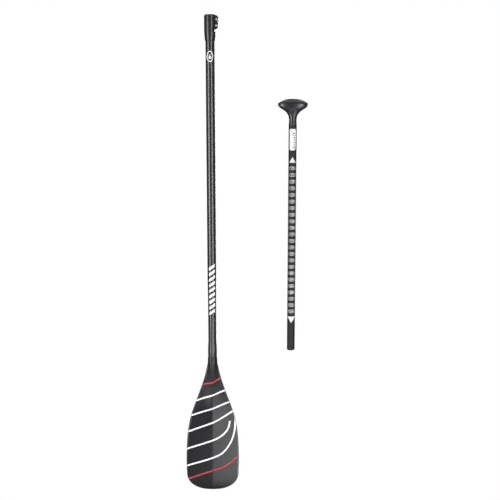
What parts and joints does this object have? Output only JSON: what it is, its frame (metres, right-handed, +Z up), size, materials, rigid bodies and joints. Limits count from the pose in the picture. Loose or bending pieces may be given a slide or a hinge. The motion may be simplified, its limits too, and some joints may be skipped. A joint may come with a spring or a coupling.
{
  "type": "single blade paddle",
  "caption": "Two-section adjustable paddle: round shaft with a cam clamp collar and an angled blade, and a telescoping tube with a palm grip and a size scale.",
  "frame": {"origin": "on the lower shaft's axis, at the lower rim of the clamp collar, where a rack notch or hook holds the paddle up", "axes": "+Z up along both shafts with the blade hanging down, +X from the shaft to the handle tube beside it, -Y the face with the size scale"},
  "size_m": [0.3705, 0.0776, 1.4508],
  "materials": {
    "carbon_shaft": "satin",
    "carbon_tube": "satin",
    "blade_laminate": "satin",
    "moulded_plastic": "satin",
    "grip_plastic": "satin",
    "nylon_liner": "matte",
    "stainless_steel": "satin",
    "closed_cell_foam": "matte"
  },
  "bodies": {
    "lower_section": {"lower_shaft": "carbon_shaft", "shaft_ferrule": "carbon_shaft", "shaft_plug": "closed_cell_foam", "clamp_collar": "moulded_plastic", "collar_bush": "nylon_liner", "clamp_bolt_upper": "stainless_steel", "clamp_bolt_lower": "stainless_steel", "bolt_washer_upper": "stainless_steel", "bolt_washer_lower": "stainless_steel", "cam_plate": "stainless_steel", "lever_pivot_pin": "stainless_steel", "blade_front_skin": "blade_laminate", "blade_rear_skin": "blade_laminate", "blade_core": "closed_cell_foam", "blade_edge_rail": "moulded_plastic", "blade_spigot": "carbon_shaft"},
    "lever": {"clamp_lever": "moulded_plastic"},
    "carrier": {"tube_float": "closed_cell_foam"},
    "handle_section": {"handle_tube": "carbon_tube", "tube_end_plug": "moulded_plastic", "grip_spigot": "carbon_tube", "grip_front_half": "grip_plastic", "grip_rear_half": "grip_plastic"}
  },
  "joints": [
    {"name": "lever_pivot", "type": "hinge", "parent": "lower_section", "child": "lever", "pos_m": [0.0199, 0.017, 0.05425], "axis": [0, 0, -1], "range_deg": [0, 120]},
    {"name": "handle_carry", "type": "slide", "parent": "lower_section", "child": "carrier", "axis": [-0.2022, 0, 0.9794], "range_m": [0, 1.20692]},
    {"name": "telescope", "type": "slide", "parent": "carrier", "child": "handle_section", "axis": [0, 0, -1], "range_m": [0, 0.735]}
  ]
}
